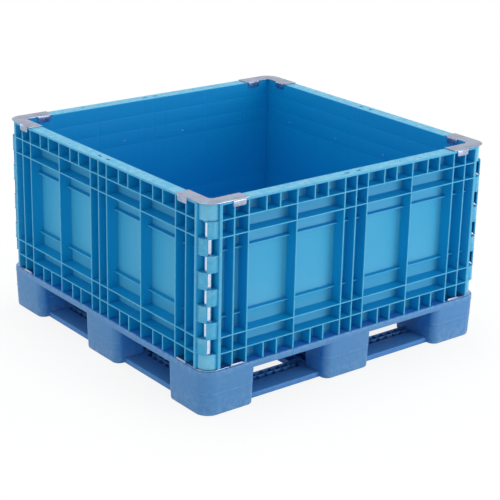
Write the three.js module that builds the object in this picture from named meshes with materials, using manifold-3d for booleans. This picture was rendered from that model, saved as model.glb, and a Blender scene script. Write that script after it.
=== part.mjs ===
// Open-topped plastic pallet box: four ribbed walls joined at the corners by knuckles on steel rods,
// steel corner plates above and below, and a two-piece four-way-entry pallet. Millimetres, Z up.
import * as THREE from "three";
import { mergeVertices } from "three/addons/utils/BufferGeometryUtils.js";
import Module from "manifold-3d";

const wasm = await Module();
wasm.setup();

// Driving sizes
const PLAN = 1100;
const PALLET_HEIGHT = 140;
const WALL_HEIGHT = 500;
const WALL_THICKNESS = 45;
const CORNER_RADIUS = 46;
const SHEET = 2.7;
const ROD_RADIUS = 12;
const GAP = 0.3;

// Walls
const LEVELS = 10;
const LEVEL = WALL_HEIGHT / LEVELS;
const WALL_SKIN = 4;
const RIB = 5;
const CROSS_RIB = 4;
const RIM = 6;
const END_POST = 10;
const SHALLOW_RIB_PROUD = 16;
const FLANGE_SET_IN = 20;
const RIM_SLOT_LENGTH = 12;
const RIM_SLOT_WIDTH = 5;
const RIM_SLOT_IN = 20;
const wallPlane = PLAN / 2 - SHEET - GAP;
const wallEnd = wallPlane - CORNER_RADIUS;
const wallBottom = PALLET_HEIGHT + GAP;
const wallTop = PALLET_HEIGHT + WALL_HEIGHT;
const skinBack = wallPlane - WALL_THICKNESS;
const skinFront = skinBack + WALL_SKIN;

// Places of the upright ribs, as shares of the wall's half length
const halfLength = wallEnd - END_POST / 2;
const tallRibShares = [0, 0.09, 0.453, 0.806, 0.907];
const shortRibShares = [0.222, 0.322, 0.58, 0.68];

// Corners
const ROD_IN = 30;
const rodPlace = wallPlane - ROD_IN;
const EYE_RADIUS = 15.5;
const KNUCKLE_PLATE = 5;
const KNUCKLE_WEB = 5;
const KNUCKLE_SWEEP = (46 * Math.PI) / 180;
const BLOCK_SET_IN = 8;
const ROD_SIDES = 12;

// Steel corner plates
const ARM = 150;
const TAB_START = 93;
const TAB_WIDTH = 45;
const TAB_DROP = 18;
const INNER_TAB_DROP = 20;
const BRACKET_TAB_RISE = 7;

// Pallet
const DECK_BAND = 20;
const DECK_SKIN = 5;
const SEAM = PALLET_HEIGHT / 2;
const BOARD = 18;
const BOARD_SET_IN = 35;
const BOARD_WIDTH = 111;
const CENTRE_BOARD_WIDTH = 234;
const BOARD_SMOOTH = 65;
const CORNER_FOOT = 193;
const MIDDLE_FOOT = 190;
const EDGE_FOOT_DEPTH = 120;
const FOOT_ROUND = 30;
const FOOT_WALL = 6;
const BOARD_CORNER = 20;
const OPENING_CORNER = 12;
const BOARD_SKIN = 4;
const deckUnderside = PALLET_HEIGHT - DECK_BAND;

// Colours as they look in the photograph
const WALL_BLUE = 0x4fa6d6;
const PALLET_BLUE = 0x5a8cc2;
const BLOCK_BLUE = 0x58abd9;
const STEEL = 0xb4bccf;

function solid(geometry) {
  const bare = geometry.index ? geometry.clone() : geometry;
  bare.deleteAttribute("normal");
  bare.deleteAttribute("uv");
  const merged = mergeVertices(bare, 1e-4);
  return new wasm.Manifold(
    new wasm.Mesh({
      numProp: 3,
      vertProperties: merged.attributes.position.array,
      triVerts: new Uint32Array(merged.index.array),
    }),
  );
}

function geometryOf(body) {
  const made = body.getMesh();
  const count = made.numProp;
  const points = new Float32Array(made.numVert * 3);
  for (let i = 0; i < made.numVert; i++) {
    points.set(made.vertProperties.subarray(i * count, i * count + 3), i * 3);
  }
  const geometry = new THREE.BufferGeometry();
  geometry.setAttribute("position", new THREE.BufferAttribute(points, 3));
  geometry.setIndex(new THREE.BufferAttribute(made.triVerts, 1));
  geometry.computeVertexNormals();
  return geometry;
}

function box(x0, x1, y0, y1, z0, z1) {
  const made = new THREE.BoxGeometry(x1 - x0, y1 - y0, z1 - z0);
  made.translate((x0 + x1) / 2, (y0 + y1) / 2, (z0 + z1) / 2);
  return solid(made);
}

// An upright prism over an outline given as [x, y] points.
function prism(outline, z0, z1) {
  const shape = new THREE.Shape(outline.map(([x, y]) => new THREE.Vector2(x, y)));
  const made = new THREE.ExtrudeGeometry(shape, { depth: z1 - z0, bevelEnabled: false });
  made.translate(0, 0, z0);
  return solid(made);
}

function join(bodies) {
  return bodies.reduce((whole, next) => whole.add(next));
}

function arc(cx, cy, radius, from, to, steps) {
  const points = [];
  for (let i = 0; i <= steps; i++) {
    const turn = from + ((to - from) * i) / steps;
    points.push([cx + radius * Math.cos(turn), cy + radius * Math.sin(turn)]);
  }
  return points;
}

function disc(cx, cy, radius, sides) {
  return arc(cx, cy, radius, 0, 2 * Math.PI, sides).slice(0, sides);
}

// A rectangle with rounded corners; radii start at low x and low y and go anticlockwise.
function roundedOutline(x0, x1, y0, y1, radii, steps) {
  const quarter = Math.PI / 2;
  return [
    ...arc(x0 + radii[0], y0 + radii[0], radii[0], 2 * quarter, 3 * quarter, steps),
    ...arc(x1 - radii[1], y0 + radii[1], radii[1], 3 * quarter, 4 * quarter, steps),
    ...arc(x1 - radii[2], y1 - radii[2], radii[2], 0, quarter, steps),
    ...arc(x0 + radii[3], y1 - radii[3], radii[3], quarter, 2 * quarter, steps),
  ];
}

// A point at distances s and t in from the wall's outer planes at the front left corner.
function fromCorner(s, t) {
  return [s - wallPlane, t - wallPlane];
}

// A point of the corner's round, at an angle that runs from the front wall's plane towards the side.
function onRound(radius, angle) {
  return fromCorner(
    CORNER_RADIUS - radius * Math.sin(angle),
    CORNER_RADIUS - radius * Math.cos(angle),
  );
}

// One knuckle of the front wall at its left end: a curved outer plate under a web bored for the rod.
function knuckle(z0, z1) {
  const root = CORNER_RADIUS + 3;
  const steps = 4;
  const outer = [];
  const inner = [];
  for (let i = 0; i <= steps; i++) {
    outer.push(onRound(CORNER_RADIUS, (KNUCKLE_SWEEP * i) / steps));
    inner.unshift(onRound(CORNER_RADIUS - KNUCKLE_PLATE, (KNUCKLE_SWEEP * i) / steps));
  }
  const plate = prism(
    [fromCorner(root, 0), ...outer, ...inner, fromCorner(root, KNUCKLE_PLATE)].reverse(),
    z0,
    z1,
  );
  const near = ROD_IN - EYE_RADIUS;
  const far = ROD_IN + EYE_RADIUS;
  const deep = WALL_THICKNESS - 2 * GAP;
  const web = prism(
    [
      fromCorner(root, 0),
      ...outer,
      fromCorner(near, ROD_IN + EYE_RADIUS / 4),
      fromCorner(ROD_IN - EYE_RADIUS / 3, Math.min(far, deep)),
      fromCorner(root, Math.min(far, deep)),
    ].reverse(),
    z1 - KNUCKLE_WEB,
    z1,
  );
  const hole = prism(disc(-rodPlace, -rodPlace, ROD_RADIUS + GAP, ROD_SIDES), z0 - 1, z1 + 1);
  return plate.add(web).subtract(hole);
}

function mirrored(body) {
  const made = geometryOf(body);
  made.scale(-1, 1, 1);
  const index = made.index.array;
  for (let i = 0; i < index.length; i += 3) {
    [index[i + 1], index[i + 2]] = [index[i + 2], index[i + 1]];
  }
  return solid(made);
}

function levelTop(level) {
  return wallTop - LEVEL * level;
}

// The front wall: a slab with its pockets cut from outside, and four knuckles at each end.
function wall() {
  const front = -wallPlane;
  const tall = [];
  for (const share of tallRibShares) {
    tall.push(share * halfLength);
    if (share > 0) tall.unshift(-share * halfLength);
  }
  const short = shortRibShares.flatMap((share) => [-share * halfLength, share * halfLength]);
  const uprights = [-wallEnd + END_POST, ...tall, wallEnd - END_POST];
  const edge = (i, side) => {
    const isPost = i === 0 || i === uprights.length - 1;
    return uprights[i] + (isPost ? 0 : (side * RIB) / 2);
  };
  const rows = [
    [wallBottom + RIM, levelTop(9) - CROSS_RIB / 2],
    [levelTop(9) + CROSS_RIB / 2, levelTop(8) - CROSS_RIB / 2],
    [levelTop(8) + CROSS_RIB / 2, levelTop(2) - CROSS_RIB / 2],
    [levelTop(2) + CROSS_RIB / 2, levelTop(1) - CROSS_RIB / 2],
    [levelTop(1) + CROSS_RIB / 2, wallTop - RIM],
  ];
  const cuts = [];
  const pocket = (x0, x1, z0, z1, back) => cuts.push(box(x0, x1, front - 1, -back, z0, z1));
  for (let i = 0; i + 1 < uprights.length; i++) {
    const x0 = edge(i, 1);
    const x1 = edge(i + 1, -1);
    rows.forEach(([z0, z1], row) => {
      if (row === 2) {
        const low = levelTop(7);
        const high = levelTop(3);
        pocket(x0, x1, z0, z1, skinFront + SHALLOW_RIB_PROUD);
        pocket(x0, x1, z0, low - CROSS_RIB / 2, skinFront);
        pocket(x0, x1, low + CROSS_RIB / 2, high - CROSS_RIB / 2, skinFront);
        pocket(x0, x1, high + CROSS_RIB / 2, z1, skinFront);
        return;
      }
      const stops = row === 0 || row === 4 ? short.filter((x) => x > x0 && x < x1) : [];
      const ends = [x0, ...stops.sort((a, b) => a - b), x1];
      for (let k = 0; k + 1 < ends.length; k++) {
        const a = ends[k] + (k > 0 ? RIB / 2 : 0);
        const b = ends[k + 1] - (k + 2 < ends.length ? RIB / 2 : 0);
        pocket(a, b, z0, z1, skinFront);
        if (row === 0) pocket(a, b, wallBottom - 1, z0 + 1, wallPlane - FLANGE_SET_IN);
      }
    });
  }
  for (const side of [-1, 1]) {
    const x = (side * tallRibShares[1] * halfLength) / 2;
    const x0 = x - RIM_SLOT_LENGTH / 2;
    const x1 = x + RIM_SLOT_LENGTH / 2;
    const y0 = front + RIM_SLOT_IN;
    cuts.push(box(x0, x1, y0, y0 + RIM_SLOT_WIDTH, wallTop - RIM - 1, wallTop + 1));
  }
  const plateRoom = SHEET + 2 * GAP;
  for (const side of [-1, 1]) {
    const far = side * (wallPlane + 1);
    const near = side * (wallPlane - ARM + SHEET);
    cuts.push(
      box(
        Math.min(far, near),
        Math.max(far, near),
        front - 1,
        -skinBack + 1,
        wallBottom - 1,
        wallBottom + plateRoom,
      ),
    );
  }
  const slab = box(-wallEnd, wallEnd, front, -skinBack, wallBottom, wallTop);
  const left = [];
  const right = [];
  for (const level of [2, 4, 6, 8]) {
    left.push(knuckle(levelTop(level) + GAP, levelTop(level - 1) - GAP));
    right.push(mirrored(knuckle(levelTop(level + 1) + GAP, levelTop(level) - GAP)));
  }
  return join([slab.subtract(join(cuts)), ...left, ...right]);
}

// The curved block that closes a corner above or below the knuckles, bored for the rod.
function block(z0, z1) {
  const radius = CORNER_RADIUS - BLOCK_SET_IN;
  const inside = CORNER_RADIUS - 2 * GAP;
  const steps = 6;
  const outline = [];
  for (let i = 0; i <= steps; i++) {
    const turn = (Math.PI * i) / (2 * steps);
    outline.push(
      fromCorner(inside - radius * Math.sin(turn), inside - radius * Math.cos(turn)),
    );
  }
  outline.push(fromCorner(inside, inside));
  const hole = prism(disc(-rodPlace, -rodPlace, ROD_RADIUS + GAP, ROD_SIDES), z0 - 1, z1 + 1);
  return prism(outline.reverse(), z0, z1).subtract(hole);
}

// A folded steel corner plate: an L over both rims with an outer and an inner tab on each arm.
// It is drawn as the top cap; the bottom bracket is the same plate with its tabs folded up.
function cornerPlate(z0, fold) {
  const z1 = z0 + SHEET;
  const outer = PLAN / 2;
  const radius = CORNER_RADIUS + SHEET + GAP;
  const inner = skinBack - GAP - SHEET;
  const steps = 5;
  const quarter = Math.PI / 2;
  const outline = [
    ...arc(-outer + radius, -outer + radius, radius, 2 * quarter, 3 * quarter, steps),
    [-outer + ARM, -outer],
    [-outer + ARM, -inner],
    [-inner, -inner],
    [-inner, -outer + ARM],
    [-outer, -outer + ARM],
  ];
  const parts = [prism(outline, z0, z1)];
  const a = -outer + TAB_START;
  const b = a + TAB_WIDTH;
  const tab = (near, far, low, high) => {
    parts.push(box(a, b, near, far, low, high));
    parts.push(box(near, far, a, b, low, high));
  };
  if (fold < 0) {
    tab(-outer, -outer + SHEET, z0 - TAB_DROP, z1);
    tab(-inner - SHEET, -inner, z0 - INNER_TAB_DROP, z1);
  } else {
    tab(-outer, -outer + SHEET, z0, z1 + BRACKET_TAB_RISE);
  }
  return join(parts);
}

// The nine feet as [x0, x1, y0, y1, radii of the four corners].
function feet() {
  const outer = PLAN / 2;
  const spans = [
    [-outer, -outer + CORNER_FOOT],
    [-MIDDLE_FOOT / 2, MIDDLE_FOOT / 2],
    [outer - CORNER_FOOT, outer],
  ];
  const edges = [
    [-outer, -outer + EDGE_FOOT_DEPTH],
    [-MIDDLE_FOOT / 2, MIDDLE_FOOT / 2],
    [outer - EDGE_FOOT_DEPTH, outer],
  ];
  const made = [];
  for (let i = 0; i < 3; i++) {
    for (let j = 0; j < 3; j++) {
      const x = j === 1 ? edges[i] : spans[i];
      const y = i === 1 ? edges[j] : spans[j];
      const round = [FOOT_ROUND, FOOT_ROUND, FOOT_ROUND, FOOT_ROUND];
      const big = CORNER_RADIUS + SHEET + GAP;
      if (i === 0 && j === 0) round[0] = big;
      if (i === 2 && j === 0) round[1] = big;
      if (i === 2 && j === 2) round[2] = big;
      if (i === 0 && j === 2) round[3] = big;
      made.push([...x, ...y, round]);
    }
  }
  return made;
}

function footPrism([x0, x1, y0, y1, round], inset, z0, z1) {
  const radii = round.map((r) => r - inset);
  const steps = inset > 0 ? 1 : 3;
  return prism(
    roundedOutline(x0 + inset, x1 - inset, y0 + inset, y1 - inset, radii, steps),
    z0,
    z1,
  );
}

function overlapsFoot(x0, x1, y0, y1, margin) {
  return feet().some(
    ([a, b, c, d]) => x0 < b + margin && x1 > a - margin && y0 < d + margin && y1 > c - margin,
  );
}

// Upper half of the pallet: deck with ribs below, and the upper halves of the feet, hollow.
function palletDeck() {
  const half = PLAN / 2;
  const big = CORNER_RADIUS + SHEET + GAP;
  const bodies = [
    prism(
      roundedOutline(-half, half, -half, half, [big, big, big, big], 3),
      deckUnderside,
      PALLET_HEIGHT,
    ),
  ];
  const cuts = [];
  for (const foot of feet()) {
    bodies.push(footPrism(foot, 0, SEAM + GAP / 2, deckUnderside + 1));
    cuts.push(footPrism(foot, FOOT_WALL, SEAM - 1, PALLET_HEIGHT - FOOT_WALL));
  }
  const cells = 8;
  const pitch = (PLAN - 2 * RIB) / cells;
  for (let i = 0; i < cells; i++) {
    for (let j = 0; j < cells; j++) {
      const x0 = -half + RIB + i * pitch + RIB / 2;
      const y0 = -half + RIB + j * pitch + RIB / 2;
      const x1 = x0 + pitch - RIB;
      const y1 = y0 + pitch - RIB;
      if (overlapsFoot(x0, x1, y0, y1, RIB / 2)) continue;
      cuts.push(box(x0, x1, y0, y1, deckUnderside - 1, PALLET_HEIGHT - DECK_SKIN));
    }
  }
  return join(bodies).subtract(join(cuts));
}

// Lower half of the pallet: the lower halves of the feet, open upwards, on a frame of bottom boards.
function palletBase() {
  const half = PLAN / 2;
  const edge = half - BOARD_SET_IN;
  const inner = edge - BOARD_WIDTH;
  const middle = CENTRE_BOARD_WIDTH / 2;
  const openings = [];
  for (const sx of [-1, 1]) {
    for (const sy of [-1, 1]) {
      const xs = [sx * middle, sx * inner].sort((a, b) => a - b);
      const ys = [sy * middle, sy * inner].sort((a, b) => a - b);
      const corners = new Array(4).fill(OPENING_CORNER);
      openings.push(prism(roundedOutline(...xs, ...ys, corners, 2), -1, BOARD + 1));
    }
  }
  const boardCorners = new Array(4).fill(BOARD_CORNER);
  const boards = prism(roundedOutline(-edge, edge, -edge, edge, boardCorners, 3), 0, BOARD);
  const bodies = [boards.subtract(join(openings))];
  const cuts = [];
  for (const foot of feet()) {
    bodies.push(footPrism(foot, 0, 0, SEAM - GAP / 2));
    cuts.push(footPrism(foot, FOOT_WALL, FOOT_WALL, SEAM + 1));
  }
  const trough = (x0, x1, y0, y1) => cuts.push(box(x0, x1, y0, y1, BOARD_SKIN, BOARD + 1));
  const smoothEnd = edge - BOARD_SMOOTH;
  const laneStart = MIDDLE_FOOT / 2 + RIB;
  const laneEnd = half - CORNER_FOOT - RIB;
  const perLane = 2;
  const step = (laneEnd - laneStart + RIB) / perLane;
  for (const sx of [-1, 1]) {
    for (const sy of [-1, 1]) {
      for (let k = 0; k < perLane; k++) {
        const a = laneStart + k * step;
        const b = a + step - RIB;
        const along = [sx * a, sx * b].sort((p, r) => p - r);
        const across = [sy * (inner + RIB), sy * smoothEnd].sort((p, r) => p - r);
        trough(along[0], along[1], across[0], across[1]);
        trough(across[0], across[1], along[0], along[1]);
      }
    }
  }
  const crossStart = MIDDLE_FOOT / 2 + RIB;
  const crossEnd = half - EDGE_FOOT_DEPTH - RIB;
  const crossCount = 2;
  const crossStep = (crossEnd - crossStart + RIB) / crossCount;
  for (const side of [-1, 1]) {
    for (let k = 0; k < crossCount; k++) {
      const a = crossStart + k * crossStep;
      const b = a + crossStep - RIB;
      const along = [side * a, side * b].sort((p, r) => p - r);
      for (const [c, d] of [[-middle + RIB, -RIB / 2], [RIB / 2, middle - RIB]]) {
        trough(along[0], along[1], c, d);
        trough(c, d, along[0], along[1]);
      }
    }
  }
  return join(bodies).subtract(join(cuts));
}

const group = new THREE.Group();

function place(name, geometry, color, roughness, metalness, turn) {
  const mesh = new THREE.Mesh(
    geometry,
    new THREE.MeshStandardMaterial({ color, roughness, metalness }),
  );
  mesh.name = name;
  mesh.rotation.z = turn;
  group.add(mesh);
}

place("pallet_deck", geometryOf(palletDeck()), PALLET_BLUE, 0.5, 0, 0);
place("pallet_base", geometryOf(palletBase()), PALLET_BLUE, 0.5, 0, 0);

const wallShape = geometryOf(wall());
["front", "right", "back", "left"].forEach((side, i) => {
  place("wall_" + side, wallShape, WALL_BLUE, 0.42, 0, (i * Math.PI) / 2);
});

const rodBottom = PALLET_HEIGHT + SHEET + 2 * GAP;
const rodLength = wallTop - rodBottom;
const rodShape = new THREE.CylinderGeometry(ROD_RADIUS, ROD_RADIUS, rodLength, ROD_SIDES);
rodShape.rotateX(Math.PI / 2);
rodShape.rotateZ(Math.PI / 2);
rodShape.translate(-rodPlace, -rodPlace, rodBottom + rodLength / 2);
const topBlock = geometryOf(block(levelTop(1) + GAP, wallTop));
const bottomBlock = geometryOf(block(rodBottom, levelTop(9) - GAP));
const cap = geometryOf(cornerPlate(wallTop + GAP, -1));
const bracket = geometryOf(cornerPlate(PALLET_HEIGHT + GAP, 1));
["front_left", "front_right", "back_right", "back_left"].forEach((corner, i) => {
  const turn = (i * Math.PI) / 2;
  place("corner_rod_" + corner, rodShape, STEEL, 0.28, 0.9, turn);
  place("top_block_" + corner, topBlock, BLOCK_BLUE, 0.42, 0, turn);
  place("bottom_block_" + corner, bottomBlock, BLOCK_BLUE, 0.42, 0, turn);
  place("top_cap_" + corner, cap, STEEL, 0.35, 0.9, turn);
  place("bottom_bracket_" + corner, bracket, STEEL, 0.35, 0.9, turn);
});

export default group;
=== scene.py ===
import math
from itertools import product

import bmesh
import bpy
import numpy as np
from mathutils import Matrix


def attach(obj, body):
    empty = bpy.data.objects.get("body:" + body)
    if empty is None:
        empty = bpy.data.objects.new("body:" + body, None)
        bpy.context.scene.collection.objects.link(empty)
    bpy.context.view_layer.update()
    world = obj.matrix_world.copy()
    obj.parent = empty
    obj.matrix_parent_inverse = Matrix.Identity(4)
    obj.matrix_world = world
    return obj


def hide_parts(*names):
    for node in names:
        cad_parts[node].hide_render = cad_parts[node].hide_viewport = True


# Plastic pallet box. Every shape below is worked out in millimetres and put into the mesh in metres. The origin is
# the middle of the footprint at floor level, -Y is the front and -X the left side. What stands four times is worked
# out once, for the front wall or the front left corner, and turned in quarter turns.

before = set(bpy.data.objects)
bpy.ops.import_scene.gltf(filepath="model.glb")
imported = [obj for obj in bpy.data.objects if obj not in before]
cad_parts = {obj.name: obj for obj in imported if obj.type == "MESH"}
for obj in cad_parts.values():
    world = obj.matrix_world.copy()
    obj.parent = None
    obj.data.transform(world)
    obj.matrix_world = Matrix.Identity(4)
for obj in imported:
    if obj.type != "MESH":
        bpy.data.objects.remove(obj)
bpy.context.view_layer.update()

MM = 0.001
QUARTER_TURN = math.pi / 2
GAP = 0.3  # between pieces that touch
QUARTERS = (("front", "front_left"), ("right", "front_right"), ("back", "back_right"), ("left", "back_left"))

# Levels and planes, plan sizes from the middle of the box
PLAN = 1100.0
HALF_PLAN = PLAN / 2
PALLET_TOP = 140.0
WALL_BOTTOM = PALLET_TOP + GAP
WALL_TOP = 640.0
PLANE = 547.0  # the walls' outer plane
INNER = 502.0  # the walls' inner face
ROUND = 46.0  # the knuckles' round at the corner
WALL_END = PLANE - ROUND

# Wall
LEVEL = 50.0  # spacing of the level ribs
DEEP_LEVELS = (1, 2, 8, 9)  # level ribs that reach the outer plane, counted down from the rim
SHALLOW_LEVELS = (3, 7)  # short shelves that stop below it
ALL_LEVELS = DEEP_LEVELS + SHALLOW_LEVELS
SHALLOW = 16.0  # how far the short shelves stand off the skin
SKIN = 4.0
TALL_RIBS = (0.0, 44.6, 224.7, 399.8, 449.9)  # upright ribs over the whole height
SHORT_RIBS = (110.1, 159.7, 287.7, 337.3)  # upright ribs in the top and bottom bands only
RIB_HALF = 2.5
SHELF_HALF = 2.0
END_POST = 10.0
RIM = 6.0
FLANGE = 2.0
FLANGE_IN = 36.0  # how far the foot's flange stands in from the outer plane
POST_LINES = (0, 0.4, 1.2, 8.8, 9.6, 10, 10.8, 11.6, 13.3)  # grid lines in from the wall's end
RIM_LINES = (0, 0.45, 1.5, 5.1, 5.7, 6, 6.8, 7.6, 9.3)  # grid lines down from the rim's top
FOOT_LINES = (0, 0.45, 1.1, 1.7, 2, 2.8, 3.6, 5.3)  # grid lines up from the wall's foot
RIM_EASE, FOOT_EASE, END_EASE = 1.5, 1.1, 1.2  # rounds of the wall's outer edges
PITS = (  # in the rim's top: place along the wall, half length, place across, half width, depth
    (22.3, 9.0, -524.95, 3.8, 7.0),
    (186.0, 2.4, -530.0, 2.2, 3.0),
    (268.0, 2.4, -530.0, 2.2, 3.0),
)
PIT_SLOPE = 0.3
GATES, GATE_HEIGHT = (121.0, 375.0), 507.0  # marks on the inner face, along the wall and over the floor

# Corner
ROD_IN = 30.0  # the rod's middle, in from both outer planes
ROD_RADIUS = 12.0
BORE = ROD_RADIUS + GAP
SWEEP = math.radians(46)  # how far a knuckle reaches round the corner
KNUCKLE_TURNS = (-0.06, 0.0, 0.03, 0.12)  # first stations, in radians, with the valley beside the wall
VALLEY_TURNS, VALLEY_DIPS = (0.0, 0.03, 0.12, 0.18, 0.24, 0.31), (0.0, 4.2, 4.2, 2.6, 0.9, 0.0)
BLOCK_SET_IN = 8.0
SHEET = 2.7
OVER_BRACKET = 3.3  # the bracket's sheet with a gap under and over it
PLATE_INNER = INNER - GAP - SHEET
PLATE_FILLET = 14.0
PLATE_EDGE = 0.9
CAP_BACK, CAP_INNER_BACK = 2.6, 2.2  # the cap's edges stand back behind the bends of its tabs
BRACKET_BACK = 1.5
TAB_ROOT = 8.0  # how far a tab's strip reaches under its plate
ARM_END = HALF_PLAN - 150.0
TAB_MIDDLE = HALF_PLAN - 115.5
TAB_HALF = 22.5
TAB_BEND = 3.4
CAP_DROP, INNER_DROP, BRACKET_RISE = 18.0, 20.0, 8.0
BRACKET_REACH = 402.7  # the wall's foot clears the bracket beyond this

# Pallet
SEAM = 70.0
DECK_BOTTOM = 120.0
DECK_HALF = 544.5  # the deck's tray reaches into its edge band
DECK_MARGIN = 5.0  # the outermost ribs' middle, in from the plan
DECK_CELLS = 8
TRAY_DEPTH = 14.9
BAND = 6.0
PALLET_ROUND = 49.0
CORNER_FOOT = 193.0
MIDDLE_FOOT = 190.0
EDGE_FOOT_DEPTH = 120.0
FOOT_ROUND = 30.0
# The feet's outlines on their way down, as (inset, height): above the seam, and from it to the floor
UPPER_FOOT = [(0.9, 121.0), (0.7, 118.0), (2.1, 72.0), (1.6, 71.2), (1.5, 70.2), (1.5, 70.05)]
LOWER_FOOT = [(1.5, 69.95), (1.5, 69.8), (1.6, 69.0), (2.2, 68.4), (4.6, 7.0), (5.0, 4.0), (6.2, 1.2), (9.0, 0.0)]
BOARD_TOP = 18.0
BOARD_EDGE = 515.0
FRAME_INNER = 404.0
CROSS_HALF = 117.0
SMOOTH_FROM = 452.0  # the frame's top has no troughs beyond this
TROUGH_DEPTH = 14.0
TROUGH_SLOPE = 0.6
TROUGH_RIB = 4.0

# Looks: how much wear and painted highlight, and how much painted sheen a surface gets, from 0 to 1
PLAIN_WEAR = 0.05
# The bottom boards' upper faces get part of the painted sheen.
BOARD_SHEEN = 0.6
PALLET_OPEN = 530.0  # pallet faces farther out than this count as open
BOARD_OPEN = 400.0


# ---------------------------------------------------------------- mesh helpers
def quads(rows, cols, wrap_rows=False, wrap_cols=False):
    """Faces of a grid of points kept row by row: each face joins a point to its next row and next column."""
    i, j = np.meshgrid(
        np.arange(rows if wrap_rows else rows - 1),
        np.arange(cols if wrap_cols else cols - 1),
        indexing="ij",
    )
    i2, j2 = (i + 1) % rows, (j + 1) % cols
    return np.stack([i * cols + j, i2 * cols + j, i2 * cols + j2, i * cols + j2], -1).reshape(-1, 4)


def tube(points, wrap=False):
    """A shell from an array (stations, loop, 3): each station's closed loop is joined to the next one, and
    the first and last loops are filled, or joined to each other where wrap is true."""
    stations, loop = points.shape[:2]
    faces = quads(stations, loop, wrap, True).tolist()
    if not wrap:
        faces.append(list(range(loop)))
        faces.append(list(range((stations - 1) * loop, stations * loop)))
    return points.reshape(-1, 3), faces


def at_height(flat, z):
    """Plan points lifted to one height."""
    return np.column_stack([flat, np.full(len(flat), z)])


def around(centre, radius, turns):
    """Plan points on a circle, or on a ray where the radius changes with the turn."""
    return np.stack([centre[0] + radius * np.cos(turns), centre[1] + radius * np.sin(turns)], -1)


def turned(points, quarter):
    """Points turned about the upright middle line by a number of quarter turns."""
    c, s = [(1, 0), (0, 1), (-1, 0), (0, -1)][quarter % 4]
    x, y = points[..., 0], points[..., 1]
    return np.stack([c * x - s * y, s * x + c * y, points[..., 2]], -1)


# The value below is the mask of a painted sheen: faces that look out are painted paler as if lit, and faces deep in
# the box keep the more saturated colour of shade.
def open_faces(mesh):
    """How much each face looks out of the box: the cosine between its normal and the way out, which is square
    to the nearest side or, at a corner, away from the round's middle. Faces deep in the box count as hidden, the
    rim's top as open and the outer bottom boards as partly open."""
    count = len(mesh.polygons)
    centre, normal = np.empty(count * 3), np.empty(count * 3)
    mesh.polygons.foreach_get("center", centre)
    mesh.polygons.foreach_get("normal", normal)
    centre, normal = centre.reshape(-1, 3) / MM, normal.reshape(-1, 3)
    height, rising = centre[:, 2], normal[:, 2]
    flat = centre[:, :2]
    far_out = np.abs(flat).max(1)
    farther = np.abs(flat) >= far_out[:, None]
    beyond = np.clip(np.abs(flat) - WALL_END, 0, None)
    away = np.where((beyond > 0).all(1)[:, None], beyond, farther) * np.sign(flat)
    away /= np.maximum(np.linalg.norm(away, axis=1, keepdims=True), 1e-6)
    facing = np.clip((normal[:, :2] * away).sum(1), 0, 1)
    facing *= far_out > np.where(height > PALLET_TOP, INNER, PALLET_OPEN)
    board = (height < BOARD_TOP + 0.1) & (far_out > BOARD_OPEN) & (facing == 0)
    facing = np.where(board & (rising > -0.5), BOARD_SHEEN, facing)
    return np.where((height > WALL_TOP - 1) & (rising > 0.5), 1.0, facing).astype(np.float32)


def piece(name, shells, material, slot, *nodes):
    """One object from shells of (points in mm, faces) or (points in mm, faces, wear and painted highlight per
    point): doubles are merged and the faces turned outwards, then edges sharper than 32 degrees are kept crisp."""
    points, faces, wear_and_highlight, base = [], [], [], 0
    for shell in shells:
        p, f = shell[0], shell[1]
        points.append(p)
        wear_and_highlight.append(shell[2] if len(shell) > 2 else np.full(len(p), PLAIN_WEAR))
        faces.extend([[k + base for k in face] for face in f])
        base += len(p)
    mesh = bpy.data.meshes.new(name)
    mesh.from_pydata((np.concatenate(points) * MM).tolist(), [], faces)
    worn_and_highlit = np.concatenate(wear_and_highlight).astype(np.float32)
    mesh.attributes.new("edge_wear_and_highlight", "FLOAT", "POINT").data.foreach_set("value", worn_and_highlit)
    work = bmesh.new()
    work.from_mesh(mesh)
    bmesh.ops.remove_doubles(work, verts=work.verts, dist=0.02 * MM)
    bmesh.ops.dissolve_degenerate(work, edges=work.edges, dist=0.005 * MM)
    bmesh.ops.recalc_face_normals(work, faces=work.faces)
    work.to_mesh(mesh)
    work.free()
    # Faces that look out get the mask of the painted sheen.
    mesh.attributes.new("painted_sheen", "FLOAT", "FACE").data.foreach_set("value", open_faces(mesh))
    mesh.polygons.foreach_set("use_smooth", np.ones(len(mesh.polygons), bool))
    mesh.set_sharp_from_angle(angle=math.radians(32))
    mesh.materials.append(material)
    made = bpy.data.objects.new(name, mesh)
    bpy.context.scene.collection.objects.link(made)
    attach(made, "root")
    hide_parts(*nodes)
    return made


def eased(t, radius):
    """How far a quarter-round edge stands in at distance t from the face it runs into."""
    t = np.clip(radius - t, 0, radius)
    return radius - np.sqrt(radius**2 - t**2)


def rounded_rectangle(x0, x1, y0, y1, radii, steps):
    """Corner arcs joined in order, anticlockwise from the corner at low x and low y."""
    centres = (
        (x0 + radii[0], y0 + radii[0]),
        (x1 - radii[1], y0 + radii[1]),
        (x1 - radii[2], y1 - radii[2]),
        (x0 + radii[3], y1 - radii[3]),
    )
    arcs = []
    for k, centre in enumerate(centres):
        turns = math.pi + k * QUARTER_TURN + np.linspace(0, QUARTER_TURN, steps + 1)
        arcs.append(around(centre, radii[k], turns))
    return np.concatenate(arcs)


def loft(outlines, heights):
    """Flat outlines stacked at their heights and closed at both ends."""
    return tube(np.stack([at_height(outline, z) for outline, z in zip(outlines, heights)]))


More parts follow.
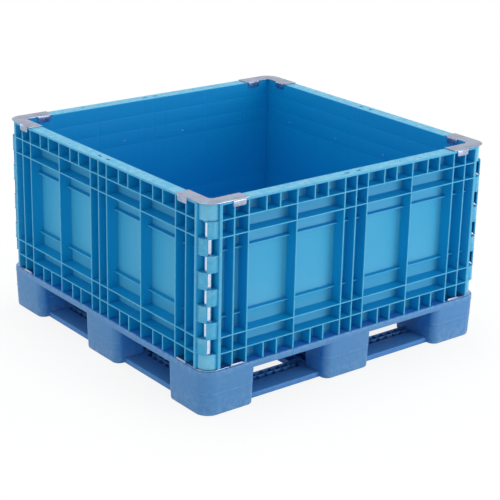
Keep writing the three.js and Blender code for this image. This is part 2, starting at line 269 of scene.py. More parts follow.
def reach(outline, centre, turns):
    """How far a ray from the centre travels, at each turn, before it meets the closed outline."""
    a = outline - centre
    b = np.roll(a, -1, axis=0)
    d = np.stack([np.cos(turns), np.sin(turns)], -1)[:, None, :]
    e = (b - a)[None]
    cross = d[..., 0] * e[..., 1] - d[..., 1] * e[..., 0]
    cross = np.where(np.abs(cross) < 1e-9, 1e-9, cross)
    t = (a[None, :, 0] * e[..., 1] - a[None, :, 1] * e[..., 0]) / cross
    s = (a[None, :, 0] * d[..., 1] - a[None, :, 1] * d[..., 0]) / cross
    ok = (t > 0) & (s >= -1e-9) & (s <= 1 + 1e-9)
    return np.where(ok, t, 1e9).min(1)


def bored_plate(outline, centre, z0, z1, edge=0.8, count=96):
    """A plate of any outline that the rod's bore sees whole: rays from the bore's middle run to the outline,
    and a loop in each ray's upright plane has quarter-round outer edges."""
    turns = np.linspace(0, 2 * math.pi, count, endpoint=False)
    corners = np.arctan2(outline[:, 1] - centre[1], outline[:, 0] - centre[0]) % (2 * math.pi)
    turns = np.unique(np.round(np.concatenate([turns, corners]), 5))
    out = reach(outline, centre, turns)
    bore = np.full(len(turns), BORE)
    rings = [at_height(around(centre, bore, turns), z) for z in (z0, z1)]
    for inset, z in (
        (edge, z1), (0.3 * edge, z1 - 0.3 * edge), (0, z1 - edge),
        (0, z0 + edge), (0.3 * edge, z0 + 0.3 * edge), (edge, z0),
    ):
        rings.append(at_height(around(centre, np.maximum(out - inset, BORE + 0.2), turns), z))
    return tube(np.stack(rings, 1), wrap=True)


# ---------------------------------------------------------------- walls
def rib_depth(distance, half, deep, edge=1.2, draft=0.8, foot=2.5):
    """Depth below the rib's crest at a distance from its middle: flat, a quarter round, a drafted side and a
    quarter round into the floor."""
    base = half + draft
    at = [0, half - edge, half - 0.3 * edge, half, base, base + 0.3 * foot, base + foot]
    depth = [0, 0, 0.29 * edge, edge, deep - foot, deep - 0.29 * foot, deep]
    return np.interp(distance, at, depth)


def rib_stations(centre, half, edge=1.2, draft=0.8, foot=2.5):
    """Where grid lines have to run for one rib, on both sides of its middle."""
    base = half + draft
    at = np.array([half - edge, half - 0.3 * edge, half, half + 0.05, base, base + 0.3 * foot, base + foot])
    return np.concatenate([centre - at, centre + at])


def level(k):
    """Height of a level line of the wall, counted down from the rim."""
    return WALL_TOP - LEVEL * k


def both(values):
    """Each value on both sides of the wall's middle, and zero once."""
    return [side * v for v in values for side in (-1, 1) if v or side > 0]


def flanks(half):
    """Grid lines for a pit's sloping sides, from its middle."""
    return np.array([-half, PIT_SLOPE - half, half - PIT_SLOPE, half])


def rim_and_foot(z):
    """How far the wall's faces draw in towards its rounded rim and foot."""
    return eased(WALL_TOP - z, RIM_EASE) + eased(z - WALL_BOTTOM, FOOT_EASE)


def wall_lines(pits):
    """The grid lines of the wall's outside: x along the wall, and z from the rim down."""
    xs = [rib_stations(c, RIB_HALF) for c in both(TALL_RIBS) + both(SHORT_RIBS)]
    for side in (-1, 1):
        xs.append(side * (WALL_END - np.array(POST_LINES)))
        xs.append(side * (BRACKET_REACH + np.array([0, 0.3])))
    xs += [c + flanks(half) for c, half, *_ in pits]
    xs = np.unique(np.round(np.concatenate(xs), 3))
    zs = [rib_stations(level(k), SHELF_HALF) for k in ALL_LEVELS]
    zs += [[level(1), level(9)], WALL_TOP - np.array(RIM_LINES), WALL_BOTTOM + np.array(FOOT_LINES)]
    return xs[np.abs(xs) <= WALL_END], np.unique(np.round(np.concatenate(zs), 3))[::-1]


def outside_depth(xs, zs):
    """Depth below the outer plane at each crossing: the least of the depths that the ribs, posts, shelves, rim
    and flange leave, where the short ribs count only in the top and bottom bands."""
    deep = PLANE - INNER - SKIN
    tall = np.min([rib_depth(np.abs(xs - c), RIB_HALF, deep) for c in both(TALL_RIBS)], 0)
    tall = np.minimum(tall, rib_depth(WALL_END - np.abs(xs), END_POST, deep))
    short = np.min([rib_depth(np.abs(xs - c), RIB_HALF, deep) for c in both(SHORT_RIBS)], 0)
    cross = np.min([rib_depth(np.abs(zs - level(k)), SHELF_HALF, deep) for k in DEEP_LEVELS], 0)
    cross = np.minimum(cross, rib_depth(WALL_TOP - zs, RIM, deep))
    flange = np.maximum(rib_depth(zs - WALL_BOTTOM, FLANGE, deep), FLANGE_IN)
    low = np.min([rib_depth(np.abs(zs - level(k)), SHELF_HALF, SHALLOW) for k in SHALLOW_LEVELS], 0)
    low = low + deep - SHALLOW
    depth = np.minimum(tall[:, None], np.minimum(np.minimum(cross, flange), low)[None])
    banded = (zs >= level(1)) | (zs <= level(9))
    return np.where(banded[None], np.minimum(depth, short[:, None]), depth)


def crest_wear_and_highlight(depth, zs):
    """Wear and painted highlight of the outside: light on the crests, strong along their edges as a painted edge
    highlight, and in two pale lines, painted highlights, that run across every crest at the edges of the level ribs."""
    crest = 0.15 * (depth < 0.1) + 0.8 * np.clip(1 - np.abs(depth - 0.6) / 0.7, 0, 1)
    off_line = np.min([np.abs(np.abs(zs - level(k)) - 1.7) for k in ALL_LEVELS], 0)
    return np.maximum(crest, 0.8 * np.clip(1 - off_line / 0.7, 0, 1)[None] * (depth < 0.1))


def inner_face(xs):
    """The smooth inside, from the foot up: shallow hollows lie behind the level ribs and the tall ribs, each
    falling off from its middle as a bell curve."""
    marks = [level(k) + np.array([-6, -2.5, 0, 2.5, 6]) for k in ALL_LEVELS]
    marks.append([WALL_BOTTOM, WALL_BOTTOM + FOOT_EASE, WALL_TOP - RIM_EASE, WALL_TOP])
    x, z = np.meshgrid(xs, np.unique(np.concatenate(marks)), indexing="ij")
    sink = np.max([np.exp(-(((z - level(k)) / 3.0) ** 2)) for k in ALL_LEVELS], 0)
    sink = np.maximum(sink, 0.8 * np.max([np.exp(-(((x - c) / 3.5) ** 2)) for c in both(TALL_RIBS)], 0))
    return np.stack([x, -INNER - np.maximum(0.45 * sink, rim_and_foot(z)), z], -1)


def rim_top(xs, pits):
    """The rim's top, from the inner to the outer face: each pit sinks to its depth over a short slope."""
    ys = [y + flanks(half) for _, _, y, half, _ in pits] + [[-INNER - 5, -PLANE + 5]]
    x, y = np.meshgrid(xs, np.unique(np.round(np.concatenate(ys), 3))[::-1], indexing="ij")
    sunk = np.zeros_like(x)
    for along, half_along, across, half_across, depth in pits:
        in_x = np.clip((half_along - np.abs(x - along)) / PIT_SLOPE, 0, 1)
        in_y = np.clip((half_across - np.abs(y - across)) / PIT_SLOPE, 0, 1)
        sunk = np.maximum(sunk, depth * np.minimum(in_x, in_y))
    return np.stack([x, y, WALL_TOP - sunk], -1)


def finish_ends(loops):
    """Rounds the panel's two ends, lifts its foot over the corner brackets, and runs the inner skin on to meet
    the next wall's, so that no line of light shows in the corner."""
    along = np.abs(loops[..., 0])
    skin = loops[..., 1] > -INNER - 0.5
    inset = eased(WALL_END - along, END_EASE)
    inset = np.where(skin, 0.1 * inset, inset)
    lift = np.where(along > BRACKET_REACH + 0.1, OVER_BRACKET, 0.0)
    loops[..., 2] += lift * np.clip(1.6 - (loops[..., 2] - WALL_BOTTOM) / 10, 0, 1)
    loops[..., 1] = np.clip(loops[..., 1], -PLANE + inset, -INNER - inset)
    loops[..., 2] = np.clip(loops[..., 2], WALL_BOTTOM + lift + inset, WALL_TOP - inset)
    run_on = 0.85 * np.clip(along - WALL_END + 1, 0, 1)
    loops[..., 0] += np.where(skin, np.sign(loops[..., 0]) * run_on, 0)
    return loops


def wall_panel():
    """The front wall's panel as one grid: x lines along the wall, and at each a closed loop down the ribbed
    outside, up the smooth inside and over the rim."""
    pits = [(side * place, *size) for place, *size in PITS for side in (-1, 1)]
    xs, zs = wall_lines(pits)
    depth = outside_depth(xs, zs)
    x, z = np.meshgrid(xs, zs, indexing="ij")
    outside = np.stack([x, -PLANE + np.maximum(depth, rim_and_foot(z)), z], -1)
    inside, top = inner_face(xs), rim_top(xs, pits)
    # The rim's top gets the full value: a painted highlight over the whole top.
    wear_and_highlight = np.concatenate([crest_wear_and_highlight(depth, zs), np.zeros(inside.shape[:2]), np.ones(top.shape[:2])], 1)
    wear_and_highlight[[0, -1]] = 0
    points, faces = tube(finish_ends(np.concatenate([outside, inside, top], 1)))
    return points, faces, wear_and_highlight.reshape(-1)


def on_round(radius, turn):
    """A point on the corner's round, at a turn from the front wall's plane towards the side wall."""
    return np.stack([-WALL_END - radius * np.sin(turn), -WALL_END - radius * np.cos(turn)], -1)


def knuckle(z0, z1):
    """One knuckle at the front wall's left end: a bar section with a thin lip along its foot, carried round the
    corner's arc. Beside the wall it dips into a shallow valley. A bored web lies under its top."""
    turns = np.concatenate([KNUCKLE_TURNS, np.linspace(0.18, SWEEP - 0.03, 11), [SWEEP - 0.009, SWEEP]])
    dips = np.interp(turns, VALLEY_TURNS, VALLEY_DIPS)
    insets = np.concatenate([np.zeros(len(turns) - 2), [0.35, 1.2]])
    rings = []
    for turn, inset, dip in zip(turns, insets, dips):
        outer, inner = ROUND - dip - inset, ROUND - 6 - 0.6 * dip + inset
        bottom, top = z0 + inset, z1 - inset
        section = np.array([
            (inner, bottom + 0.4), (inner + 0.4, bottom), (outer - 0.5, bottom), (outer - 0.1, bottom + 0.2),
            (outer, bottom + 0.6), (outer, bottom + 2.2), (outer - 0.9, bottom + 3.0), (outer - 0.9, top - 0.9),
            (outer - 1.2, top - 0.3), (outer - 1.8, top), (inner + 0.4, top), (inner, top - 0.4),
        ])
        rings.append(np.column_stack([on_round(section[:, 0], turn), section[:, 1]]))
    bar = np.stack(rings)
    wear_and_highlight = np.full(bar.shape[:2], 0.3)
    # The lip and the upper edge are painted pale as highlights.
    wear_and_highlight[:, [3, 4, 5]] = 1.0  # the lip
    wear_and_highlight[:, [7, 8, 9]] = 0.7  # the upper edge
    wear_and_highlight[-1] = 0.2
    arc = on_round(np.full(9, ROUND - 5.2), np.linspace(0, SWEEP - 0.03, 9))
    corner = np.array([-PLANE, -PLANE])
    eye = [
        (ROD_IN - 15.5, ROD_IN + 4), (ROD_IN - 9, ROD_IN + 12.4), (ROD_IN - 2, ROD_IN + 14.4), (ROUND + 2, 44.4),
    ]
    outline = np.concatenate([[corner + [ROUND + 2, 5.5]], arc, corner + np.array(eye)])
    web = bored_plate(outline, corner + ROD_IN, z1 - 5, z1, count=64)
    points, faces = tube(bar)
    return [(points, faces, wear_and_highlight.reshape(-1)), web]


def gate_mark(x, z):
    """The small round stub left on the wall's inner face where the melt came in: a low dome of revolution."""
    turns = np.linspace(0, 2 * math.pi, 16, endpoint=False)
    rings = []
    for r, proud in ((3.6, -1), (3.6, 0.1), (3.0, 0.7), (1.6, 1.1), (0.2, 1.2)):
        ring = around((x, z), r, turns)
        rings.append(np.stack([ring[:, 0], np.full(len(ring), -INNER + proud), ring[:, 1]], -1))
    points, faces = tube(np.stack(rings))
    return points, faces, np.full(len(points), 1.0)


def mirrored(shell):
    """The same shell on the other side of the wall's middle."""
    points = shell[0] * np.array([-1.0, 1.0, 1.0])
    faces = [face[::-1] for face in shell[1]]
    return (points, faces, *shell[2:])


def wall():
    """The front wall: the panel, four knuckles at each end with the left ones a level higher, and gate marks."""
    shells = [wall_panel()]
    for k in (2, 4, 6, 8):
        shells += knuckle(level(k) + GAP, level(k - 1) - GAP)
        shells += [mirrored(s) for s in knuckle(level(k + 1) + GAP, level(k) - GAP)]
    return shells + [gate_mark(x, GATE_HEIGHT) for x in both(GATES)]


# ---------------------------------------------------------------- corners
def corner_block(z0, z1):
    """A quarter round set in from the knuckles, with a rounded arris and a bore."""
    arc = on_round(np.full(25, ROUND - BLOCK_SET_IN), np.linspace(0, QUARTER_TURN, 25))
    arc = np.concatenate([arc, [[-WALL_END - GAP, -WALL_END - GAP]]])
    arc = np.clip(arc, -PLANE, -WALL_END - GAP)
    points, faces = bored_plate(arc, np.array([-PLANE + ROD_IN] * 2), z0, z1)
    # The block's bottom arris is painted pale, a painted highlight.
    return points, faces, np.where(np.abs(points[:, 2] - z0) < 1.0, 0.9, 0.1)


def rod(z0, z1):
    """A bar turned about its own line, with its ends chamfered."""
    tip, chamfer = 0.01, 1.2
    profile = [
        (tip, z0), (ROD_RADIUS - chamfer, z0), (ROD_RADIUS, z0 + chamfer),
        (ROD_RADIUS, z1 - chamfer), (ROD_RADIUS - chamfer, z1), (tip, z1),
    ]
    turns = np.linspace(0, 2 * math.pi, 48, endpoint=False)
    middle = -PLANE + ROD_IN
    return tube(np.stack([at_height(around((middle, middle), r, turns), z) for r, z in profile]))


def plate_shell(z0, outer, inner):
    """The flat of a corner plate: a section from the outer to the inner edge, with eased edges, carried from
    one arm's end round the corner to the other's."""
    hub = -inner + PLATE_FILLET
    arm = [(t, min(t, inner - PLATE_FILLET)) for t in (ARM_END, ARM_END + 0.25, ARM_END + 0.9, ARM_END + 6, WALL_END)]
    stations = [((-t, -outer), (-u, -inner)) for t, u in arm]
    for turn in np.linspace(0, QUARTER_TURN, 17)[1:-1]:
        fillet = (hub - PLATE_FILLET * math.sin(turn), hub - PLATE_FILLET * math.cos(turn))
        stations.append((on_round(outer - WALL_END, turn), fillet))
    stations += [((-outer, -t), (-inner, -u)) for t, u in arm[::-1]]
    insets = np.zeros(len(stations))
    insets[[0, -1]], insets[[1, -2]] = PLATE_EDGE, 0.25
    rings = []
    for (a, b), inset in zip(stations, insets):
        a, b = np.array(a), np.array(b)
        along = (b - a) / np.linalg.norm(b - a)
        low, high = z0 + inset, z0 + SHEET - inset
        half_loop = [
            (PLATE_EDGE, low), (0.25, low + 0.25), (0, low + PLATE_EDGE),
            (0, high - PLATE_EDGE), (0.25, high - 0.25), (PLATE_EDGE, high),
        ]
        loop = [(a + along * back, z) for back, z in half_loop]
        loop += [(b - along * back, z) for back, z in half_loop[::-1]]
        rings.append([(*point, min(max(z, low), high)) for point, z in loop])
    return tube(np.array(rings))


def tab(z, face, root, drop, way):
    """A tab on the front arm: a flat strip's section carried out from the plate, through a quarter-round bend
    and along the wall's face, where way is -1 for down and 1 for up."""
    toward = 1 if face > root else -1
    run = [(root, 0.0)]
    for turn in np.linspace(0, QUARTER_TURN, 7):
        run.append((face - toward * TAB_BEND * (1 - math.sin(turn)), TAB_BEND * (1 - math.cos(turn))))
    run = np.array(run + [(face, drop - 3.5), (face, drop - 1), (face, drop)])
    step = np.gradient(run, axis=0)
    step /= np.linalg.norm(step, axis=1)[:, None]
    normal = np.stack([-step[:, 1], step[:, 0]], -1)
    widths = np.full(len(run), TAB_HALF)
    widths[-2:] = (21.0, 18.0)
    half = SHEET / 2 - 0.05
    rings = []
    for (out, down), n, width in zip(run, normal, widths):
        section = rounded_rectangle(-width, width, -half, half, [0.8] * 4, 3)
        radial = out + n[0] * section[:, 1]
        height = z + way * (down + n[1] * section[:, 1])
        rings.append(np.column_stack([-TAB_MIDDLE + section[:, 0], -radial, height]))
    return np.stack(rings)


def corner_plate(z0, cap):
    """Sheet steel over or under the corner, with a tab on each arm: folded down outside and inside for a cap,
    and up outside for a bracket."""
    outer = HALF_PLAN - CAP_BACK if cap else PLANE - BRACKET_BACK
    shells = [plate_shell(z0, outer, PLATE_INNER + (CAP_INNER_BACK if cap else 0.0))]
    tabs = [(HALF_PLAN - SHEET / 2, PLANE - TAB_ROOT, CAP_DROP if cap else BRACKET_RISE)]
    if cap:
        tabs.append((PLATE_INNER + SHEET / 2, INNER + TAB_ROOT, INNER_DROP))
    for face, root, drop in tabs:
        strip = tab(z0 + SHEET / 2, face, root, drop, -1 if cap else 1)
        shells += [tube(strip), tube(strip[..., [1, 0, 2]])]
    return [(p, f, np.full(len(p), 0.3)) for p, f in shells]


# ---------------------------------------------------------------- pallet
def foot_places():
    """The nine feet as x and y spans with their corner rounds."""
    spans = (
        (-HALF_PLAN, -HALF_PLAN + CORNER_FOOT),
        (-MIDDLE_FOOT / 2, MIDDLE_FOOT / 2),
        (HALF_PLAN - CORNER_FOOT, HALF_PLAN),
    )
    shallow = ((-HALF_PLAN, -HALF_PLAN + EDGE_FOOT_DEPTH), spans[1], (HALF_PLAN - EDGE_FOOT_DEPTH, HALF_PLAN))
    box_corner = {(0, 0): 0, (2, 0): 1, (2, 2): 2, (0, 2): 3}
    made = []
    for i, j in product(range(3), repeat=2):
        x = shallow[i] if j == 1 else spans[i]
        y = shallow[j] if i == 1 else spans[j]
        radii = [FOOT_ROUND] * 4
        if (i, j) in box_corner:
            radii[box_corner[(i, j)]] = PALLET_ROUND
        made.append((*x, *y, radii))
    return made


def foot(place, steps):
    """A drafted block: the foot's outline drawn in by each height's inset, stacked, and closed. It is worn at
    the floor, and its bead at the seam is painted pale as a highlight."""
    x0, x1, y0, y1, radii = place
    outlines = [
        rounded_rectangle(x0 + i, x1 - i, y0 + i, y1 - i, [max(r - i, 2.0) for r in radii], 8) for i, _ in steps
    ]
    points, faces = loft(outlines, [z for _, z in steps])
    wear_and_highlight = [0.9 if z < 8 or abs(z - SEAM) < 1.5 else 0.2 for _, z in steps]
    return points, faces, np.repeat(wear_and_highlight, len(points) // len(steps))


def plate_with_holes(xs, ys, top, bottom, filled):
    """A slab on a grid of x and y lines: upper and lower heights at each crossing, cells left out where not
    filled, and walls round every cell that borders a hole."""
    nx, ny = len(xs), len(ys)
    x, y = np.meshgrid(xs, ys, indexing="ij")
    points = np.concatenate([np.stack([x, y, z], -1).reshape(-1, 3) for z in (top, bottom)])
    under = nx * ny
    upper = quads(nx, ny)[filled.reshape(-1)]
    lower = upper[:, ::-1] + under
    padded = np.pad(filled, 1).astype(int)
    sides = []
    for change, next_point in ((np.diff(padded, axis=0)[:, 1:-1], 1), (np.diff(padded, axis=1)[1:-1], ny)):
        i, j = np.nonzero(change)
        a = i * ny + j
        b = a + next_point
        sides.append(np.stack([a, b, b + under, a + under], -1))
    return points, np.concatenate([upper, lower, *sides]).tolist()


def deck_tray():
    """The deck's plate: a flat top, and an underside that is the least of the depths its crossing ribs leave.
    Points beyond the corner's round are drawn back onto it."""
    pitch = (PLAN - 2 * DECK_MARGIN) / DECK_CELLS
    ribs = -HALF_PLAN + DECK_MARGIN + pitch * np.arange(DECK_CELLS + 1)
    lines = [rib_stations(c, RIB_HALF, foot=1.5) for c in ribs]
    lines = np.concatenate(lines + [[-DECK_HALF, DECK_HALF], [-WALL_END, WALL_END, -520, 520]])
    lines = np.unique(np.round(lines[np.abs(lines) <= DECK_HALF], 3))
    near = np.min([rib_depth(np.abs(lines - c), RIB_HALF, TRAY_DEPTH, foot=1.5) for c in ribs], 0)
    bottom = DECK_BOTTOM + 0.1 + np.minimum(near[:, None], near[None])
    top = np.full_like(bottom, PALLET_TOP - 0.1)
    points, faces = plate_with_holes(lines, lines, top, bottom, np.ones((len(lines) - 1,) * 2, bool))
    round_radius = DECK_HALF - WALL_END
    beyond = np.clip(np.abs(points[:, :2]) - WALL_END, 0, None)
    far = np.hypot(beyond[:, 0], beyond[:, 1])
    pull = np.where(far > round_radius, round_radius / np.maximum(far, 1), 1.0)[:, None]
    in_corner = (beyond > 0).all(1)[:, None]
    points[:, :2] = np.where(in_corner, np.sign(points[:, :2]) * (WALL_END + beyond * pull), points[:, :2])
    return points, faces, np.full(len(points), 0.1)


def deck_band():
    """The deck's edge: a rounded bar section carried round the rounded square of the plan."""
    rings = []
    for inset, z in rounded_rectangle(0, BAND, DECK_BOTTOM, PALLET_TOP, [1.6, 0.8, 0.8, 4.5], 5):
        near, far = -HALF_PLAN + inset, HALF_PLAN - inset
        rings.append(at_height(rounded_rectangle(near, far, near, far, [PALLET_ROUND - inset] * 4, 12), z))
    points, faces = tube(np.stack(rings), wrap=True)
    # The band is painted paler towards its top, a painted highlight on its upper arris.
    return points, faces, np.clip((points[:, 2] - 128) / 9, 0.2, 1.0)


def trough_spans():
    """The troughs in the boards' upper face, as x and y spans: rows along the frame and along the cross, each
    cut up by ribs, on both sides of both middle lines and again with x and y exchanged."""
    layouts = (
        (np.linspace(100, 357, 9), ((FRAME_INNER + 4, 426.0), (430.0, SMOOTH_FROM - 3))),
        (np.linspace(100, 430, 11), ((4.0, 34.0), (40.0, 72.0), (78.0, CROSS_HALF - 4))),
    )
    troughs = []
    for cuts, rows in layouts:
        for (a, b), (c, d), sx, sy in product(zip(cuts[:-1], cuts[1:]), rows, (-1, 1), (-1, 1)):
            u, v = sorted((sx * (a + TROUGH_RIB), sx * b)), sorted((sy * c, sy * d))
            troughs += [(*u, *v), (*v, *u)]
    return troughs


def base_boards():
    """The bottom boards: a frame and a cross with four openings, chamfered outside, ribbed troughs inside. The
    top is its flat height less the chamfer and less each trough's depth, which comes in over a short slope."""
    troughs = trough_spans()
    marks = []
    for side in (-1, 1):
        marks += [side * (BOARD_EDGE - v) for v in (0, 1, 4)]
        marks += [side * v for v in (FRAME_INNER, FRAME_INNER + 1, CROSS_HALF, CROSS_HALF - 1, SMOOTH_FROM)]
    for trough in troughs:
        for v in trough:
            marks += [v - TROUGH_SLOPE, v + TROUGH_SLOPE]
    lines = np.unique(np.round(marks, 3))
    x, y = np.meshgrid(lines, lines, indexing="ij")
    pit = np.zeros_like(x)
    for a, b, c, d in troughs:
        in_x = np.clip((np.minimum(x - a, b - x) + TROUGH_SLOPE) / (2 * TROUGH_SLOPE), 0, 1)
        in_y = np.clip((np.minimum(y - c, d - y) + TROUGH_SLOPE) / (2 * TROUGH_SLOPE), 0, 1)
        pit = np.maximum(pit, np.minimum(in_x, in_y))
    from_edge = np.minimum(BOARD_EDGE - np.abs(x), BOARD_EDGE - np.abs(y))
    top = BOARD_TOP - np.interp(from_edge, [0, 1, 4], [3.2, 1.2, 0]) - TROUGH_DEPTH * pit
    bottom = np.interp(from_edge, [0, 1, 4], [1.2, 0.3, 0])
    middle = np.abs((lines[:-1] + lines[1:]) / 2)
    hole = (middle > CROSS_HALF) & (middle < FRAME_INNER)
    points, faces = plate_with_holes(lines, lines, top, bottom, ~(hole[:, None] & hole[None]))
    return points, faces, np.full(len(points), 0.3)


# ---------------------------------------------------------------- materials
def node_tree(name):
    """A new material with its tree and its Principled shader."""
    material = bpy.data.materials.new(name)
    material.use_nodes = True
    tree = material.node_tree
    return material, tree, tree.nodes["Principled BSDF"]


def add(tree, kind, **inputs):
    """A new node with the values of its inputs."""
    made = tree.nodes.new(kind)
    for key, value in inputs.items():
        made.inputs[key.replace("_", " ")].default_value = value
    return made


def object_coordinates(tree):
    """The point in the piece's own frame."""
    return tree.nodes.new("ShaderNodeTexCoord").outputs["Object"]


def attribute(tree, name):
    """A value that the mesh carries on its points or faces."""
    made = tree.nodes.new("ShaderNodeAttribute")
    made.attribute_name = name
    return made.outputs["Fac"]


def noise(tree, coords, scale, detail=3.0, roughness=0.55):
    """Smooth noise between 0 and 1 at a number of cells to the metre."""
    made = add(tree, "ShaderNodeTexNoise", Scale=scale, Detail=detail, Roughness=roughness)
    tree.links.new(coords, made.inputs["Vector"])
    return made.outputs["Fac"]


def span(tree, value, a, b, c, d):
    """A value that runs from a to b, mapped to run from c to d."""
    made = add(tree, "ShaderNodeMapRange", From_Min=a, From_Max=b, To_Min=c, To_Max=d)
    tree.links.new(value, made.inputs["Value"])
    return made.outputs["Result"]


def blend(tree, factor, a, b):
    """Mix of two colours or linked colour sockets by a factor socket."""
    made = tree.nodes.new("ShaderNodeMix")
    made.data_type = "RGBA"
    tree.links.new(factor, made.inputs["Factor"])
    for socket, value in ((made.inputs[6], a), (made.inputs[7], b)):
        if isinstance(value, tuple):
            socket.default_value = (*value, 1.0)
        else:
            tree.links.new(value, socket)
    return made.outputs[2]


def combine(tree, operation, a, b):
    """One operation on two numbers or linked sockets."""
    made = tree.nodes.new("ShaderNodeMath")
    made.operation = operation
    for socket, value in ((made.inputs[0], a), (made.inputs[1], b)):
        if isinstance(value, float):
            socket.default_value = value
        else:
            tree.links.new(value, socket)
    return made.outputs[0]


def show_mix(tree, factor, a, b, output):
    """Shader a, or b as far as the factor says, into the output node."""
    mix = tree.nodes.new("ShaderNodeMixShader")
    tree.links.new(factor, mix.inputs["Fac"])
    tree.links.new(a, mix.inputs[1])
    tree.links.new(b, mix.inputs[2])
    tree.links.new(mix.outputs["Shader"], tree.nodes[output].inputs["Surface"])


def bump(tree, shader, height, strength, distance):
    """A height socket as the shader's relief, with its depth in metres."""
    made = add(tree, "ShaderNodeBump", Strength=strength, Distance=distance)
    tree.links.new(height, made.inputs["Height"])
    tree.links.new(made.outputs["Normal"], shader.inputs["Normal"])


def moulded_plastic(name, body, deep, sheen_colour, worn_and_highlit, rough, grain, grain_scale):
    """Polypropylene: cloudy colour from the melt, a painted sheen that makes the faces looking out paler as if
    lit, a fine grain in the bump, and palest on edges, where they have rubbed and where a highlight is painted."""
    material, tree, shader = node_tree(name)
    coords = object_coordinates(tree)
    cloud = span(tree, noise(tree, coords, 3.2, 4.0), 0.35, 0.65, 0.0, 1.0)
    patchy = span(tree, noise(tree, coords, 7.0, 4.0), 0.3, 0.7, 0.84, 1.0)
    scuffs = span(tree, noise(tree, coords, 60.0, 5.0, 0.7), 0.42, 0.66, 0.1, 0.7)
    speck = noise(tree, coords, 160.0, 2.0)
    colour = blend(tree, cloud, body, deep)
    # Painted sheen: the faces that look out take the paler sheen colour.
    colour = blend(tree, combine(tree, "MULTIPLY", attribute(tree, "painted_sheen"), patchy), colour, sheen_colour)
    # Wear and painted highlight: rubbed and highlit edges take the palest colour.
    colour = blend(tree, combine(tree, "MULTIPLY", attribute(tree, "edge_wear_and_highlight"), scuffs), colour, worn_and_highlit)
    tree.links.new(colour, shader.inputs["Base Color"])
    tree.links.new(span(tree, speck, 0.3, 0.7, rough - 0.05, rough + 0.08), shader.inputs["Roughness"])
    bump(tree, shader, noise(tree, coords, grain_scale, 2.0), grain, 0.0006)
    shader.inputs["IOR"].default_value = 1.49
    shader.inputs["Specular IOR Level"].default_value = 0.3
    return material


def bright_steel(name, tone, dull, rough, stretch):
    """Steel: fine drawn lines from stretched noise in the roughness and bump, and a few duller patches."""
    material, tree, shader = node_tree(name)
    coords = object_coordinates(tree)
    mapping = add(tree, "ShaderNodeMapping", Scale=stretch)
    tree.links.new(coords, mapping.inputs["Vector"])
    lines = noise(tree, mapping.outputs["Vector"], 60.0, 3.0)
    patch = noise(tree, coords, 22.0, 5.0, 0.65)
    colour = blend(tree, span(tree, patch, 0.45, 0.68, 0.0, 1.0), tone, dull)
    tree.links.new(colour, shader.inputs["Base Color"])
    tree.links.new(span(tree, lines, 0.3, 0.7, rough - 0.06, rough + 0.1), shader.inputs["Roughness"])
    bump(tree, shader, lines, 0.12, 0.0003)
    shader.inputs["Metallic"].default_value = 1.0
    return material


# Each plastic comes in a shaded and a lit copy: the body colour for faces in shade and the paler sheen colour for
# faces that look out, as painted light.
wall_plastic = moulded_plastic(
    "wall_polypropylene",
    body=(0.0, 0.290, 0.600), deep=(0.0, 0.278, 0.600), sheen_colour=(0.044, 0.345, 0.570), worn_and_highlit=(0.25, 0.51, 0.60),
    rough=0.42, grain=0.10, grain_scale=900.0,
)
# The blocks' sheen colour is paler than the wall's: more painted sheen on their round faces.
block_plastic = moulded_plastic(
    "block_polypropylene",
    body=(0.02, 0.310, 0.600), deep=(0.01, 0.290, 0.580), sheen_colour=(0.120, 0.435, 0.640), worn_and_highlit=(0.26, 0.55, 0.68),
    rough=0.46, grain=0.10, grain_scale=900.0,
)
# The pallet's body colour is kept bright and saturated so that its shaded lanes read lighter, which is painted light.
pallet_plastic = moulded_plastic(
    "pallet_polypropylene",
    body=(0.015, 0.190, 0.590), deep=(0.013, 0.175, 0.550), sheen_colour=(0.062, 0.205, 0.425), worn_and_highlit=(0.17, 0.34, 0.58),
    rough=0.44, grain=0.14, grain_scale=700.0,
)
rod_steel = bright_steel("drawn_steel", (0.66, 0.77, 0.90), (0.52, 0.62, 0.78), 0.18, (4.0, 4.0, 0.15))
# The sheet's blue tone is a painted reflection of the blue plastic around it, laid over the steel's grey.
plate_steel = bright_steel("plated_sheet", (0.38, 0.44, 0.58), (0.27, 0.31, 0.43), 0.28, (1.0, 1.0, 1.0))


# ---------------------------------------------------------------- the pieces
def place(name, shells, quarter, material, slot, node):
    """A piece of the front wall or front left corner, turned to its own side."""
    moved = [(turned(points, quarter), *rest) for points, *rest in shells]
    return piece(name, moved, material, slot, node)


wall_shells = wall()
block_low = corner_block(PALLET_TOP + OVER_BRACKET, level(9) - GAP)
block_high = corner_block(level(1) + GAP, WALL_TOP)
rod_shell = rod(PALLET_TOP + OVER_BRACKET, WALL_TOP)
cap_shells = corner_plate(WALL_TOP + GAP, True)
bracket_shells = corner_plate(PALLET_TOP + GAP, False)
for quarter, (side, corner) in enumerate(QUARTERS):
    place("moulded_wall_" + side, wall_shells, quarter, wall_plastic, "wall_plastic", "wall_" + side)
    place("rod_" + corner, [rod_shell], quarter, rod_steel, "rod_steel", "corner_rod_" + corner)
    place("upper_block_" + corner, [block_high], quarter, block_plastic, "block_plastic", "top_block_" + corner)
    place("lower_block_" + corner, [block_low], quarter, block_plastic, "block_plastic", "bottom_block_" + corner)
    place("cap_plate_" + corner, cap_shells, quarter, plate_steel, "plate_steel", "top_cap_" + corner)
    place("foot_plate_" + corner, bracket_shells, quarter, plate_steel, "plate_steel", "bottom_bracket_" + corner)

feet = foot_places()
deck_shells = [deck_tray(), deck_band()] + [foot(f, UPPER_FOOT) for f in feet]
base_shells = [base_boards()] + [foot(f, LOWER_FOOT) for f in feet]
piece("moulded_deck", deck_shells, pallet_plastic, "pallet_plastic", "pallet_deck")
piece("moulded_base", base_shells, pallet_plastic, "pallet_plastic", "pallet_base")


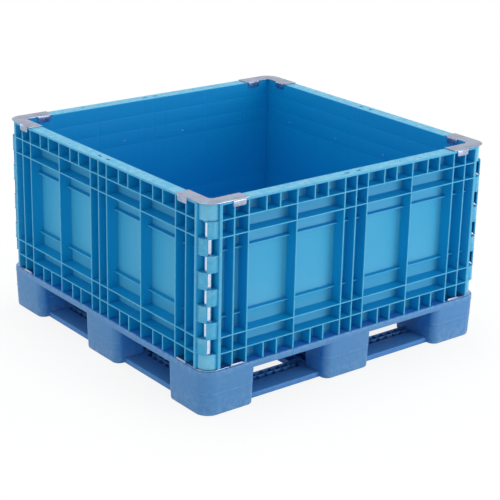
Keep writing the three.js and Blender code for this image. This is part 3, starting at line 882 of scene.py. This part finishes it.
# ---------------------------------------------------------------- studio
def studio_floor(half=30.0):
    """A wide pale floor. Camera and mirror rays see it near white, with the object's shadow kept faint."""
    material, tree, shader = node_tree("pale_floor")
    shader.inputs["Base Color"].default_value = (0.86, 0.86, 0.86, 1.0)
    shader.inputs["Roughness"].default_value = 0.9
    glow = add(tree, "ShaderNodeEmission", Color=(1.0, 1.0, 1.0, 1.0), Strength=1.0)
    path = tree.nodes.new("ShaderNodeLightPath")
    seen = combine(tree, "MAXIMUM", path.outputs["Is Camera Ray"], path.outputs["Is Glossy Ray"])
    distance = tree.nodes.new("ShaderNodeVectorMath")
    distance.operation = "LENGTH"
    tree.links.new(object_coordinates(tree), distance.inputs[0])
    part = combine(tree, "MULTIPLY", seen, span(tree, distance.outputs["Value"], 0.8, 2.2, 0.86, 1.0))
    show_mix(tree, part, shader.outputs["BSDF"], glow.outputs["Emission"], "Material Output")
    mesh = bpy.data.meshes.new("floor")
    mesh.from_pydata([(-half, -half, 0), (half, -half, 0), (half, half, 0), (-half, half, 0)], [], [(0, 1, 2, 3)])
    mesh.materials.append(material)
    made = bpy.data.objects.new("floor", mesh)
    bpy.context.scene.collection.objects.link(made)


def world_light(strength):
    """An even white world. The camera sees it as white, and mirror rays see nearly half of that mixed in."""
    world = bpy.data.worlds.new("studio")
    bpy.context.scene.world = world
    world.use_nodes = True
    tree = world.node_tree
    background = tree.nodes["Background"]
    background.inputs["Color"].default_value = (1.0, 1.0, 1.0, 1.0)
    background.inputs["Strength"].default_value = strength
    white = add(tree, "ShaderNodeBackground", Color=(1.0, 1.0, 1.0, 1.0), Strength=1.0)
    path = tree.nodes.new("ShaderNodeLightPath")
    mirrors = combine(tree, "MULTIPLY", path.outputs["Is Glossy Ray"], 0.45)
    seen = combine(tree, "MAXIMUM", path.outputs["Is Camera Ray"], mirrors)
    show_mix(tree, seen, background.outputs["Background"], white.outputs["Background"], "World Output")


def stand(made, right, up, back, place_at):
    """Puts a lamp or the camera in the scene, looking the other way from back."""
    rows = [[right[i], up[i], back[i], place_at[i]] for i in range(3)]
    made.matrix_world = Matrix(rows + [[0, 0, 0, 1]])
    bpy.context.scene.collection.objects.link(made)


def lamp(name, place_at, aim, size, power):
    """A round area light at a place, turned towards its aim."""
    data = bpy.data.lights.new(name, "AREA")
    data.shape = "DISK"
    data.size = size
    data.energy = power
    back = np.array(place_at) - np.array(aim)
    back /= np.linalg.norm(back)
    right = np.cross([0, 0, 1.0], back)
    right /= np.linalg.norm(right)
    stand(bpy.data.objects.new(name, data), right, np.cross(back, right), back, place_at)


def camera(place_at, azimuth, pitch, roll, focal_pixels):
    """The photograph's view: looks along the azimuth from +Y towards +X, down by the pitch. The focal length is
    given in pixels of a picture 500 wide."""
    az, down, lean = (math.radians(v) for v in (azimuth, pitch, roll))
    view = np.array([math.sin(az) * math.cos(down), math.cos(az) * math.cos(down), -math.sin(down)])
    right = np.array([math.cos(az), -math.sin(az), 0.0])
    up = np.cross(right, view)
    right, up = math.cos(lean) * right + math.sin(lean) * up, math.cos(lean) * up - math.sin(lean) * right
    data = bpy.data.cameras.new("photo_view")
    data.sensor_width = 36.0
    data.lens = focal_pixels * 36.0 / 500.0
    data.clip_end = 100.0
    made = bpy.data.objects.new("photo_view", data)
    stand(made, right, up, -view, place_at)
    bpy.context.scene.camera = made


studio_floor()
world_light(0.72)
lamp("front_light", (2.2, -4.8, 1.1), (0.0, 0.0, 0.35), size=3.2, power=112.0)
lamp("side_light", (-5.1, 0.6, 1.1), (0.0, 0.0, 0.35), size=3.0, power=36.0)
lamp("far_side_light", (5.1, -1.2, 1.2), (0.0, 0.0, 0.35), size=3.0, power=36.0)
lamp("back_light", (-1.2, 5.1, 1.2), (0.0, 0.0, 0.35), size=3.0, power=45.0)
lamp("top_light", (0.3, 0.3, 5.0), (0.0, 0.0, 0.3), size=2.2, power=104.0)
camera((-2.843, -3.642, 1.931), azimuth=38.35, pitch=20.13, roll=1.30, focal_pixels=1500.7)
bpy.context.scene.view_settings.view_transform = "Standard"
